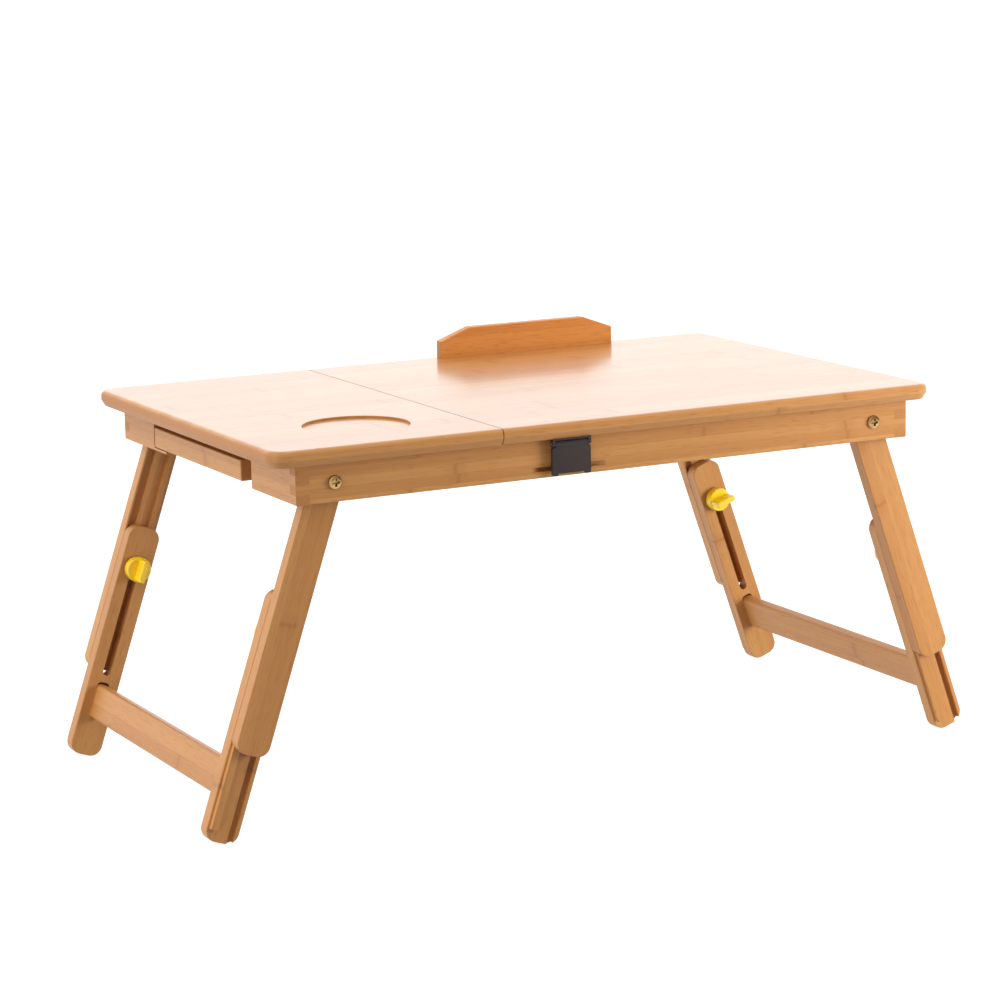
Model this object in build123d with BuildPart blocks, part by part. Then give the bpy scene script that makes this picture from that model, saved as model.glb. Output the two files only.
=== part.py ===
from build123d import *
import math
import os

os.makedirs("parts", exist_ok=True)

# Folding bamboo laptop table, in millimetres and degrees.
# X runs along the long side, +Y points to the person who sits at it, the floor is Z = 0.
# The long side at the person carries the panel hinges and the stop bar, the other one the latch.

# Top: a fixed left part with a cup recess, and a tilting panel right of the seam
top_length = 550
top_depth = 350
top_thickness = 12
top_corner_radius = 14
top_upper_round = 4.2
top_chamfer_height = 4.8
top_chamfer_inset = 2.8
fixed_top_length = 180
seam_gap = 0.8
panel_gap = 0.3
cup_diameter = 79
cup_depth = 1.8
cup_from_end = 100
cup_from_latch_edge = 79
cup_rim_round = 0.5

# Frame under the top
apron_thickness = 10
end_thickness = 10.5
side_overhang = 8
end_overhang = 20
finger_count = 4
frame_arris = 0.8
kerf_length = 62
kerf_height = 3.4
kerf_depth = 6
kerf_drop = 22
divider_thickness = 10
divider_height = 24
divider_screw_shares = (0.34, 0.66)

# Legs: the upper leg folds on its bolt, the lower leg slides along its inner face
leg_splay = 19
leg_width = 26
leg_fold_clearance = 1.25
leg_end_radius = 9
leg_arris = 0.8
leg_stop_gap = 0.84
leg_washer_thickness = 0.8
leg_washer_radius = 8
leg_side_gap = 1
upper_leg_thickness = 11
upper_leg_reach = 203
lower_leg_thickness = 11
lower_leg_length = 185
lower_leg_start = 85
slide_clearance = 0.3
rib_width = 4.2
rib_margin = 3.6
tongue_width = 5.8
tongue_margin = 1.7
groove_depth = 4
slot_start = 25.2
slot_length = 95.3
cross_bar_margin = 7.5
cross_bar_height = 27
cross_bar_thickness = 10
cross_bar_round = 3
cross_bar_tenon = 6
mortise_relief = 1.8
bolt_radius = 3
bolt_head_radius = 5.2
bolt_head_height = 2.6
bolt_head_round = 0.85
bolt_socket_radius = 1.6
bolt_socket_depth = 1.4
bolt_nut_radius = 5
bolt_nut_height = 4.5
bolt_nut_clearance = 0.5
running_clearance = 0.05

# Clamp studs and knobs
stud_end_travel = 4.5
stud_radius = 3
stud_embed = 7
stud_in_knob = 6
clamp_washer_thickness = 1
clamp_washer_radius = 8
knob_gap = 0.3
knob_radius = 9.8
knob_hub_height = 7
knob_hub_round = 1
knob_wing_height = 11
knob_wing_thickness = 5
knob_wing_round = 1.3
knob_wing_corner = 1.4

# Drawer in the left end
latch_block_length = 79
user_block_length = 63.3
drawer_front_thickness = 10
drawer_front_height = 15.5
drawer_top_gap = 10.5
drawer_lip_length = 24
drawer_lip_gap = 0.4
drawer_front_round = 1
drawer_wall = 6
drawer_side_height = 11.5
drawer_bottom_thickness = 3
drawer_side_inset = 1
drawer_stop_gap = 0.3
drawer_end_gap = 0.7
finger_gap = 20
runner_clearance = 0.5
runner_setback = 11
runner_drop = 22.5
runner_ledge_thickness = 3
runner_ledge_width = 6
runner_screw_shares = (0.25, 0.75)
far_runner_width = 9

# Butt hinges of the tilting panel
hinge_end_margin = 47.5
hinge_length = 40
hinge_leaf_width = 9
hinge_leaf_thickness = 1.2
hinge_knuckle_radius = 2.5
hinge_knuckle_gap = 0.3
hinge_pin_radius = 1.2
hinge_offset = 0.2
hinge_pocket_clearance = 0.5
hinge_screw_span_width = 24

# Stop bar on the tilting panel
stop_bar_length = 160
stop_bar_height = 24
stop_bar_thickness = 9
stop_bar_offset = 10.5
stop_bar_from_edge = 8.9
stop_bar_clip_length = 27
stop_bar_clip_height = 10
stop_bar_round = 1.2
stop_screw_span_width = 110

# Prop under the tilting panel and the notched slats for its foot
prop_pivot_reach = 200
prop_length = 120
prop_drop = 5
prop_span_width = 90
prop_arm_width = 14
prop_arm_thickness = 7.6
prop_foot_radius = 3
prop_foot_overhang = 24
prop_rod_radius = 2.5
prop_bracket_length = 12
prop_bracket_depth = 22
prop_bracket_drop = 8.8
prop_bracket_gap = 0.5
notch_count = 3
notch_first_offset = 11
notch_pitch = 9.9
notch_depth = 4
notch_clearance = 0.3
slat_top_drop = 0.7
slat_thickness = 8.2
slat_end_margin = 5
slat_root_margin = 2.2
slat_prop_gap = 3
slat_housing = 4

# Latch under the panel's edge
latch_from_seam = 56
latch_width = 31.5
latch_plate_thickness = 2.5
latch_plate_drop = 27
latch_standoff = 3.3
latch_corner_radius = 1
latch_foot_width = 4.5
latch_notch_depth = 1.6
latch_pin_radius = 1
latch_pin_drop = 3.9
latch_knuckle_radius = 2.2
latch_cheek_width = 2.2
latch_cheek_gap = 0.4
latch_base_thickness = 1.2
latch_tooth_width = 20
latch_tooth_height = 1.8
latch_tooth_clearance = 0.3
latch_screw_shares = (-0.25, 0.25)

# Wood screws
screw_radius = 1.4
screw_head_radius = 2.8
screw_head_height = 1.6
hinge_screw_length = 9
stop_screw_length = 19
runner_screw_length = 28
divider_screw_length = 32
bracket_screw_length = 17
latch_screw_length = 8
screw_point_length = 2.5
screw_socket_radius = 0.9
screw_socket_depth = 0.8

left, right = -1, 1
latch_side, user_side = -1, 1

# Places worked out from the sizes above
lean = math.radians(leg_splay)
half_leg = leg_width / 2
apron_height = leg_width + 2 * leg_fold_clearance
pivot_z = (
    (lower_leg_start + lower_leg_length - leg_end_radius) * math.cos(lean)
    + (half_leg - leg_end_radius) * math.sin(lean)
    + leg_end_radius
)
frame_top = pivot_z + apron_height / 2
frame_bottom = frame_top - apron_height
top_z = frame_top + top_thickness
end_x = top_length / 2 - end_overhang
apron_y = top_depth / 2 - side_overhang
apron_inner_y = apron_y - apron_thickness
leg_edge_reach = apron_height / 2 * math.tan(lean) + half_leg / math.cos(lean)
pivot_x = end_x - end_thickness - leg_stop_gap - leg_edge_reach
seam_x = fixed_top_length - top_length / 2
panel_centre_x = (seam_x + top_length / 2) / 2
leg_outer_y = apron_inner_y - leg_side_gap
rib_across = half_leg - rib_margin - rib_width / 2
tongue_across = tongue_margin + tongue_width / 2 - half_leg
stud_reach = lower_leg_start + slot_start + stud_radius + slide_clearance + stud_end_travel
cross_bar_start = slot_start + slot_length + cross_bar_margin
lower_leg_depth = upper_leg_thickness + slide_clearance
leg_inner_depth = lower_leg_depth + lower_leg_thickness
leg_inner_y = leg_outer_y - leg_inner_depth
washer_depth = leg_inner_depth + knob_gap
knob_depth = washer_depth + clamp_washer_thickness + knob_gap
divider_right = seam_x - seam_gap / 2
divider_left = divider_right - divider_thickness
latch_block_end = latch_block_length - apron_y
user_block_end = apron_y - user_block_length
drawer_low_y = latch_block_end + finger_gap
drawer_high_y = user_block_end - drawer_end_gap
runner_low_y = drawer_low_y + drawer_side_inset - runner_clearance
runner_high_y = drawer_high_y - drawer_side_inset + runner_clearance
drawer_back_x = divider_left - drawer_stop_gap
drawer_top_z = frame_top - drawer_top_gap
drawer_floor_z = frame_top - runner_drop + slide_clearance
hinge_y = apron_y + hinge_knuckle_radius + hinge_offset
hinge_z = frame_top + panel_gap / 2
hinge_xs = (seam_x + hinge_end_margin, top_length / 2 - hinge_end_margin)
knuckle_length = hinge_length / 3
stop_bar_x = panel_centre_x + stop_bar_offset
stop_bar_y = top_depth / 2 - stop_bar_from_edge
prop_y = hinge_y - prop_pivot_reach
prop_z = frame_top - prop_drop
prop_xs = (panel_centre_x - prop_span_width / 2, panel_centre_x + prop_span_width / 2)
slat_top = frame_top - slat_top_drop
notch_floor = slat_top - notch_depth
foot_z = notch_floor + notch_clearance + prop_foot_radius
panel_bottom = frame_top + panel_gap
latch_x = seam_x + latch_from_seam
latch_pin_y = -apron_y - latch_standoff - latch_plate_thickness / 2
latch_pin_z = panel_bottom - latch_pin_drop


def save(part, name):
    """Label one piece and write it under that name."""
    part.label = name
    export_step(part, f"parts/{name}.step")


def leg_plane(side_x, side_y, depth):
    """A leg's side plane at some depth inside its outer face: x across the leg, y up along it."""
    across = (math.cos(lean), 0, side_x * math.sin(lean))
    origin = (side_x * pivot_x, side_y * (leg_outer_y - depth), pivot_z)
    return Plane(origin=origin, x_dir=across, z_dir=(0, -1, 0))


def screw_body(length):
    """A countersunk wood screw without its driver socket, head at the origin, point along +Z."""
    with BuildPart() as body:
        with BuildSketch(Plane.XZ):
            with BuildLine():
                Polyline(
                    (0, 0),
                    (screw_head_radius, 0),
                    (screw_radius, screw_head_height),
                    (screw_radius, length - screw_point_length),
                    (0, length),
                    close=True,
                )
            make_face()
        revolve(axis=Axis.Z)
    return body.part


def wood_screw(length):
    """The same screw with a plain square driver socket in its head."""
    with BuildPart() as screw:
        add(screw_body(length))
        with BuildSketch(Plane.XY):
            RegularPolygon(screw_socket_radius, 4)
        extrude(amount=screw_socket_depth, mode=Mode.SUBTRACT)
    return screw.part


def upward(places):
    """Locations that send a screw upwards from each place."""
    return [Location(place) for place in places]


def downward(places):
    """Locations that send a screw downwards from each place."""
    return [Location(place, (180, 0, 0)) for place in places]


# Where the wood screws go, and which way they point
hinge_screw_y = (apron_inner_y + apron_y) / 2
hinge_screw_xs = [x + s * hinge_screw_span_width / 2 for x in hinge_xs for s in (-1, 1)]
frame_hinge_places = downward([(x, hinge_screw_y, frame_top) for x in hinge_screw_xs])
panel_hinge_places = upward([(x, hinge_screw_y, panel_bottom) for x in hinge_screw_xs])
stop_screw_places = upward(
    [(stop_bar_x + s * stop_screw_span_width / 2, stop_bar_y, panel_bottom) for s in (-1, 1)]
)
runner_start_x = -end_x + runner_setback
runner_length = divider_left - runner_start_x
latch_runner_mid_y = (latch_block_end + runner_low_y) / 2
user_runner_mid_y = runner_high_y + far_runner_width / 2
runner_bottom_z = frame_top - runner_drop - runner_ledge_thickness
runner_screw_xs = [runner_start_x + share * runner_length for share in runner_screw_shares]
runner_screw_places = upward(
    [(x, y, runner_bottom_z) for x in runner_screw_xs for y in (latch_runner_mid_y, user_runner_mid_y)]
)
divider_mid_x = (divider_left + divider_right) / 2
divider_low_y = latch_block_end
divider_high_y = runner_high_y + far_runner_width
divider_length = divider_high_y - divider_low_y
divider_screw_places = upward(
    [
        (divider_mid_x, divider_low_y + share * divider_length, frame_top - divider_height)
        for share in divider_screw_shares
    ]
)
bracket_mid_y = prop_y - prop_bracket_depth / 2 + prop_arm_thickness
bracket_screw_y = prop_y - prop_bracket_depth / 2
bracket_xs = [x + s * (prop_arm_width / 2 + prop_bracket_gap + prop_bracket_length / 2)
              for x, s in zip(prop_xs, (1, -1))]
bracket_screw_places = upward([(x, bracket_screw_y, frame_top - prop_bracket_drop) for x in bracket_xs])
latch_base_low = latch_pin_y - latch_knuckle_radius
latch_base_high = -apron_y - latch_tooth_clearance
latch_base_y = (latch_base_low + latch_base_high) / 2
latch_screw_xs = [latch_x + share * latch_width for share in latch_screw_shares]
latch_screw_places = upward(
    [(x, latch_base_y, panel_bottom - latch_base_thickness) for x in latch_screw_xs]
)

for name, length, places in (
    ("frame_hinge_screws", hinge_screw_length, frame_hinge_places),
    ("panel_hinge_screws", hinge_screw_length, panel_hinge_places),
    ("stop_bar_screws", stop_screw_length, stop_screw_places),
    ("runner_screws", runner_screw_length, runner_screw_places),
    ("divider_screws", divider_screw_length, divider_screw_places),
    ("prop_bracket_screws", bracket_screw_length, bracket_screw_places),
    ("latch_screws", latch_screw_length, latch_screw_places),
):
    screw = wood_screw(length)
    with BuildPart() as screws:
        with Locations(places):
            add(screw)
    save(screws.part, name)


def drill(length, places):
    """Cut the room of each screw out of the part being built."""
    hole = screw_body(length)
    with Locations(places):
        add(hole, mode=Mode.SUBTRACT)


def top_slab(bottom_z):
    """The whole top from bottom_z up, with rounded corners and edges, in the block being built."""
    with BuildSketch(Plane.XY.offset(bottom_z)) as outline:
        RectangleRounded(top_length, top_depth, top_corner_radius)
    extrude(outline.sketch, amount=top_z - bottom_z)
    fillet(faces().sort_by(Axis.Z)[-1].edges(), top_upper_round)
    underside = faces().sort_by(Axis.Z)[0]
    chamfer(underside.edges(), top_chamfer_inset, top_chamfer_height, reference=underside)


# Fixed left part of the top
with BuildPart() as fixed_top:
    top_slab(frame_top)
    split(bisect_by=Plane.YZ.offset(seam_x - seam_gap / 2), keep=Keep.BOTTOM)
    with BuildSketch(Plane.XY.offset(top_z)):
        with Locations((cup_from_end - top_length / 2, cup_from_latch_edge - top_depth / 2)):
            Circle(cup_diameter / 2)
    extrude(amount=-cup_depth, mode=Mode.SUBTRACT)
    rim = edges().filter_by(GeomType.CIRCLE).filter_by(lambda e: e.radius > top_corner_radius)
    fillet(rim.group_by(Axis.Z)[-1], cup_rim_round)
    drill(runner_screw_length, runner_screw_places)
    drill(divider_screw_length, divider_screw_places)
save(fixed_top.part, "fixed_top")

# Tilting panel, with pockets for the hinge leaves and knuckles in its underside
with BuildPart() as tilt_panel:
    top_slab(panel_bottom)
    split(bisect_by=Plane.YZ.offset(seam_x + seam_gap / 2), keep=Keep.TOP)
    for x in hinge_xs:
        pocket_length = hinge_length + 2 * hinge_pocket_clearance
        leaf_low = hinge_y - hinge_knuckle_radius - hinge_offset - hinge_leaf_width - hinge_pocket_clearance
        with BuildSketch(Plane.XY.offset(panel_bottom)):
            with Locations((x, (leaf_low + hinge_y) / 2)):
                Rectangle(pocket_length, hinge_y - leaf_low)
        extrude(amount=hinge_leaf_thickness, mode=Mode.SUBTRACT)
        pocket_half = hinge_knuckle_radius + hinge_pocket_clearance
        with BuildSketch(Plane.XY.offset(panel_bottom)):
            with Locations((x, hinge_y)):
                Rectangle(pocket_length, 2 * pocket_half)
        extrude(amount=hinge_z + pocket_half - panel_bottom, mode=Mode.SUBTRACT)
    drill(stop_screw_length, stop_screw_places)
    drill(bracket_screw_length, bracket_screw_places)
    drill(latch_screw_length, latch_screw_places)
    drill(hinge_screw_length, panel_hinge_places)
save(tilt_panel.part, "tilt_panel")


def finger_cuts(side_x, side_y, first):
    """Cut every second finger of a frame corner, from the first one below the top, out of the part."""
    finger = apron_height / finger_count
    for index in range(first, finger_count, 2):
        with BuildSketch(Plane.XY.offset(frame_top - (index + 1) * finger)) as corner:
            with Locations(
                (side_x * (end_x - end_thickness / 2), side_y * (apron_y - apron_thickness / 2))
            ):
                Rectangle(end_thickness, apron_thickness)
        extrude(corner.sketch, amount=finger, mode=Mode.SUBTRACT)


def apron(side_y):
    """A long apron: a plain board with the leg bolt holes."""
    with BuildSketch(Plane.XY.offset(frame_bottom)) as plan:
        with Locations((0, side_y * (apron_y - apron_thickness / 2))):
            Rectangle(2 * end_x, apron_thickness)
    extrude(plan.sketch, amount=apron_height)
    long_edges = edges().filter_by(Axis.X)
    fillet(long_edges.group_by(Axis.Z)[0], frame_arris)
    for side_x in (left, right):
        finger_cuts(side_x, side_y, 1)
        with BuildSketch(Plane.XZ.offset(-side_y * apron_y)) as bolt_hole:
            with Locations((side_x * pivot_x, pivot_z)):
                Circle(bolt_radius)
        extrude(bolt_hole.sketch, amount=side_y * apron_thickness, mode=Mode.SUBTRACT)


# Apron on the latch side, with the saw kerf that the latch tooth drops into
with BuildPart() as latch_apron:
    apron(latch_side)
    kerf_radius = (kerf_length**2 / 4 + kerf_depth**2) / (2 * kerf_depth)
    with BuildSketch(Plane.XY.offset(frame_top - kerf_drop - kerf_height / 2)):
        with Locations((latch_x, -apron_y + kerf_depth - kerf_radius)):
            Circle(kerf_radius)
    extrude(amount=kerf_height, mode=Mode.SUBTRACT)
save(latch_apron.part, "latch_apron")

# Apron on the user's side, with shallow pockets for the hinge leaves in its top edge
with BuildPart() as user_apron:
    apron(user_side)
    for x in hinge_xs:
        with BuildSketch(Plane.XY.offset(frame_top)):
            with Locations((x, apron_y - hinge_leaf_width / 2)):
                Rectangle(hinge_length, hinge_leaf_width)
        extrude(amount=-hinge_leaf_thickness, mode=Mode.SUBTRACT)
    drill(hinge_screw_length, frame_hinge_places)
save(user_apron.part, "user_apron")

# Where the prop's foot can stand, and the slats that carry it there
closed_foot_y = prop_y + prop_length
slat_feet = [closed_foot_y - notch_first_offset - index * notch_pitch for index in range(notch_count)]
notch_half = prop_foot_radius + notch_clearance
slat_low_y = min(slat_feet) - notch_half - slat_end_margin
slat_high_y = max(slat_feet) + notch_half + slat_root_margin
slat_mid_y = (slat_low_y + slat_high_y) / 2
slat_depth = slat_high_y - slat_low_y
left_slat_end = prop_xs[0] - prop_arm_width / 2 - slat_prop_gap
right_slat_end = prop_xs[1] + prop_arm_width / 2 + slat_prop_gap
slat_spans = {
    "left_notched_slat": (divider_right - slat_housing, left_slat_end),
    "right_notched_slat": (right_slat_end, end_x - end_thickness + slat_housing),
}


def slat_outline(low_x, high_x):
    """A notched slat's plan at its upper face, for the slat and for what it is let into."""
    with BuildSketch(Plane.XY.offset(slat_top)) as plan:
        with Locations(((low_x + high_x) / 2, slat_mid_y)):
            Rectangle(high_x - low_x, slat_depth)
    return plan.sketch


# Blocks either side of the drawer at the left end, one with a lip under the drawer front, and the rail
# at the right end
end_spans = {
    "left_latch_block": (left, -apron_y, latch_block_end),
    "left_user_block": (left, user_block_end, apron_y),
    "right_end_rail": (right, -apron_y, apron_y),
}
for name, (side_x, low_y, high_y) in end_spans.items():
    with BuildPart() as end_piece:
        with BuildSketch(Plane.XY.offset(frame_bottom)):
            with Locations((side_x * (end_x - end_thickness / 2), (low_y + high_y) / 2)):
                Rectangle(end_thickness, high_y - low_y)
        extrude(amount=apron_height)
        if name == "left_user_block":
            lip_height = drawer_top_z - drawer_front_height - drawer_lip_gap - frame_bottom
            with BuildSketch(Plane.XY.offset(frame_bottom)):
                with Locations((side_x * (end_x - end_thickness / 2), low_y - drawer_lip_length / 2)):
                    Rectangle(end_thickness, drawer_lip_length)
            extrude(amount=lip_height)
        fillet(edges().filter_by(Axis.Y).group_by(Axis.Z)[0], frame_arris)
        for side_y in (latch_side, user_side):
            finger_cuts(side_x, side_y, 0)
        if side_x == right:
            housing = slat_outline(*slat_spans["right_notched_slat"])
            extrude(housing, amount=-slat_thickness, mode=Mode.SUBTRACT)
    save(end_piece.part, name)

# Divider under the seam, behind the drawer
with BuildPart() as divider:
    with BuildSketch(Plane.XY.offset(frame_top - divider_height)):
        with Locations((divider_mid_x, (divider_low_y + divider_high_y) / 2)):
            Rectangle(divider_thickness, divider_length)
    extrude(amount=divider_height)
    fillet(edges().filter_by(Axis.Y).group_by(Axis.Z)[0], frame_arris)
    extrude(slat_outline(*slat_spans["left_notched_slat"]), amount=-slat_thickness, mode=Mode.SUBTRACT)
    drill(divider_screw_length, divider_screw_places)
save(divider.part, "seam_divider")

# Notched slats that hold the prop's foot, one let into the divider, one into the right end rail
for name, (low_x, high_x) in slat_spans.items():
    with BuildPart() as slat:
        extrude(slat_outline(low_x, high_x), amount=-slat_thickness)
        for foot_y in slat_feet:
            with BuildSketch(Plane.YZ.offset(low_x)):
                with Locations((foot_y, notch_floor + notch_half)):
                    Circle(notch_half)
                with Locations((foot_y, slat_top)):
                    Rectangle(2 * notch_half, 2 * (slat_top - notch_floor - notch_half))
            extrude(amount=high_x - low_x, mode=Mode.SUBTRACT)
    save(slat.part, name)

# Drawer runners: a post beside the drawer with a ledge under its side
runner_spans = {
    "latch_side_runner": (latch_block_end, runner_low_y, runner_low_y + runner_ledge_width),
    "user_side_runner": (
        runner_high_y + far_runner_width,
        runner_high_y,
        runner_high_y - runner_ledge_width,
    ),
}
for name, (outer_y, face_y, ledge_y) in runner_spans.items():
    with BuildPart() as runner:
        with BuildSketch(Plane.YZ.offset(runner_start_x)):
            with BuildLine():
                Polyline(
                    (outer_y, frame_top),
                    (face_y, frame_top),
                    (face_y, frame_top - runner_drop),
                    (ledge_y, frame_top - runner_drop),
                    (ledge_y, runner_bottom_z),
                    (outer_y, runner_bottom_z),
                    close=True,
                )
            make_face()
        extrude(amount=runner_length)
        drill(runner_screw_length, runner_screw_places)
    save(runner.part, name)


def board(low, high):
    """A plain board between two corners, in the block being built."""
    with BuildSketch(Plane.XY.offset(low[2])) as plan:
        with Locations(((low[0] + high[0]) / 2, (low[1] + high[1]) / 2)):
            Rectangle(high[0] - low[0], high[1] - low[1])
    extrude(plan.sketch, amount=high[2] - low[2])


# Drawer: front, two sides, back and bottom
drawer_front_back_x = -end_x + drawer_front_thickness
side_low_y = drawer_low_y + drawer_side_inset
side_high_y = drawer_high_y - drawer_side_inset
side_top_z = drawer_floor_z + drawer_side_height
drawer_inner_x = drawer_back_x - drawer_wall
with BuildPart() as drawer_front:
    board(
        (-end_x, drawer_low_y, drawer_top_z - drawer_front_height),
        (drawer_front_back_x, drawer_high_y, drawer_top_z),
    )
    fillet(faces().sort_by(Axis.X)[0].edges(), drawer_front_round)
save(drawer_front.part, "drawer_front")
drawer_boards = {
    "drawer_latch_side": (
        (drawer_front_back_x, side_low_y, drawer_floor_z),
        (drawer_inner_x, side_low_y + drawer_wall, side_top_z),
    ),
    "drawer_user_side": (
        (drawer_front_back_x, side_high_y - drawer_wall, drawer_floor_z),
        (drawer_inner_x, side_high_y, side_top_z),
    ),
    "drawer_back": (
        (drawer_inner_x, side_low_y, drawer_floor_z),
        (drawer_back_x, side_high_y, side_top_z),
    ),
    "drawer_bottom": (
        (drawer_front_back_x, side_low_y + drawer_wall, drawer_floor_z),
        (drawer_inner_x, side_high_y - drawer_wall, drawer_floor_z + drawer_bottom_thickness),
    ),
}
for name, (low, high) in drawer_boards.items():
    with BuildPart() as drawer_board:
        board(low, high)
    save(drawer_board.part, name)


def barrel(x, length, radius):
    """A round bar along X on the panel's hinge line, centred at x, as a sketch ready to extrude."""
    with BuildSketch(Plane.YZ.offset(x - length / 2)) as section:
        with Locations((hinge_y, hinge_z)):
            Circle(radius)
    return section.sketch


# Butt hinges: frame leaves with two outer knuckles, panel leaves with the middle one, and pins
with BuildPart() as frame_leaves:
    for x in hinge_xs:
        board(
            (x - hinge_length / 2, apron_y - hinge_leaf_width, frame_top - hinge_leaf_thickness),
            (x + hinge_length / 2, hinge_y, frame_top),
        )
        extrude(barrel(x, hinge_length, hinge_knuckle_radius), amount=hinge_length)
        knuckle_room = barrel(x, knuckle_length, hinge_knuckle_radius + hinge_knuckle_gap)
        extrude(knuckle_room, amount=knuckle_length, mode=Mode.SUBTRACT)
        extrude(barrel(x, hinge_length, hinge_pin_radius), amount=hinge_length, mode=Mode.SUBTRACT)
    drill(hinge_screw_length, frame_hinge_places)
save(frame_leaves.part, "hinge_frame_leaves")

with BuildPart() as panel_leaves:
    for x in hinge_xs:
        middle = knuckle_length - 2 * hinge_knuckle_gap
        outer = (hinge_length - middle) / 2
        board(
            (x - hinge_length / 2, apron_y - hinge_leaf_width, panel_bottom),
            (x + hinge_length / 2, hinge_y, panel_bottom + hinge_leaf_thickness),
        )
        for side in (-1, 1):
            outer_x = x + side * (middle + outer) / 2
            knuckle_room = barrel(outer_x, outer, hinge_knuckle_radius + hinge_knuckle_gap)
            extrude(knuckle_room, amount=outer, mode=Mode.SUBTRACT)
        extrude(barrel(x, middle, hinge_knuckle_radius), amount=middle)
        extrude(barrel(x, middle, hinge_pin_radius + running_clearance), amount=middle, mode=Mode.SUBTRACT)
    drill(hinge_screw_length, panel_hinge_places)
save(panel_leaves.part, "hinge_panel_leaves")

with BuildPart() as hinge_pins:
    for x in hinge_xs:
        extrude(barrel(x, hinge_length, hinge_pin_radius), amount=hinge_length)
save(hinge_pins.part, "hinge_pins")

# Stop bar with clipped upper corners, screwed on from below
with BuildPart() as stop_bar:
    with BuildSketch(Plane.XZ.offset(-(stop_bar_y - stop_bar_thickness / 2))):
        with BuildLine():
            half = stop_bar_length / 2
            shoulder_z = top_z + stop_bar_height - stop_bar_clip_height
            Polyline(
                (stop_bar_x - half, top_z),
                (stop_bar_x - half, shoulder_z),
                (stop_bar_x - half + stop_bar_clip_length, top_z + stop_bar_height),
                (stop_bar_x + half - stop_bar_clip_length, top_z + stop_bar_height),
                (stop_bar_x + half, shoulder_z),
                (stop_bar_x + half, top_z),
                close=True,
            )
        make_face()
    extrude(amount=-stop_bar_thickness)
    rounded = edges().filter_by(lambda e: e.center().Z > top_z + stop_bar_round)
    fillet(rounded, stop_bar_round)
    drill(stop_screw_length, stop_screw_places)
save(stop_bar.part, "stop_bar")

# Prop: two arms on a pivot rod between brackets, joined by a foot bar
for name, x in zip(("prop_left_arm", "prop_right_arm"), prop_xs):
    with BuildPart() as arm:
        with BuildSketch(Plane.YZ.offset(x - prop_arm_width / 2)):
            with Locations((prop_y + prop_length / 2, prop_z)):
                SlotCenterToCenter(prop_length, prop_arm_thickness)
            with Locations((prop_y, prop_z)):
                Circle(prop_rod_radius + running_clearance, mode=Mode.SUBTRACT)
            with Locations((prop_y + prop_length, prop_z)):
                Circle(prop_foot_radius, mode=Mode.SUBTRACT)
        extrude(amount=prop_arm_width)
    save(arm.part, name)

foot_half = prop_span_width / 2 + prop_arm_width / 2 + prop_foot_overhang
with BuildPart() as foot_bar:
    with BuildSketch(Plane.YZ.offset(panel_centre_x - foot_half)):
        with Locations((prop_y + prop_length, prop_z)):
            Circle(prop_foot_radius)
    extrude(amount=2 * foot_half)
save(foot_bar.part, "prop_foot_bar")

rod_half = prop_span_width / 2 + prop_arm_width / 2
with BuildPart() as pivot_rod:
    with BuildSketch(Plane.YZ.offset(panel_centre_x - rod_half)):
        with Locations((prop_y, prop_z)):
            Circle(prop_rod_radius)
    extrude(amount=2 * rod_half)
save(pivot_rod.part, "prop_pivot_rod")

with BuildPart() as brackets:
    for x in bracket_xs:
        with BuildSketch(Plane.YZ.offset(x - prop_bracket_length / 2)):
            with Locations((bracket_mid_y, (panel_bottom + frame_top - prop_bracket_drop) / 2)):
                Rectangle(prop_bracket_depth, panel_bottom - frame_top + prop_bracket_drop)
            with Locations((prop_y, prop_z)):
                Circle(prop_rod_radius, mode=Mode.SUBTRACT)
        extrude(amount=prop_bracket_length)
    drill(bracket_screw_length, bracket_screw_places)
save(brackets.part, "prop_brackets")

# Latch: a base screwed under the panel's edge, a pin, and the plate that hangs over the apron
cheek_low = latch_pin_z - latch_knuckle_radius
plate_half = latch_plate_thickness / 2
with BuildPart() as latch_base:
    board(
        (latch_x - latch_width / 2, latch_base_low, panel_bottom - latch_base_thickness),
        (latch_x + latch_width / 2, latch_base_high, panel_bottom),
    )
    for side in (-1, 1):
        cheek_x = latch_x + side * (latch_width - latch_cheek_width) / 2
        with BuildSketch(Plane.YZ.offset(cheek_x - latch_cheek_width / 2)):
            with Locations((latch_pin_y, latch_pin_z)):
                Circle(latch_knuckle_radius)
            with Locations((latch_pin_y, (latch_pin_z + panel_bottom) / 2)):
                Rectangle(2 * latch_knuckle_radius, panel_bottom - latch_pin_z)
        extrude(amount=latch_cheek_width)
    with BuildSketch(Plane.YZ.offset(latch_x - latch_width / 2)):
        with Locations((latch_pin_y, latch_pin_z)):
            Circle(latch_pin_radius)
    extrude(amount=latch_width, mode=Mode.SUBTRACT)
    drill(latch_screw_length, latch_screw_places)
save(latch_base.part, "latch_base")

with BuildPart() as latch_pin:
    with BuildSketch(Plane.YZ.offset(latch_x - latch_width / 2)):
        with Locations((latch_pin_y, latch_pin_z)):
            Circle(latch_pin_radius)
    extrude(amount=latch_width)
save(latch_pin.part, "latch_pin")

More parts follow.
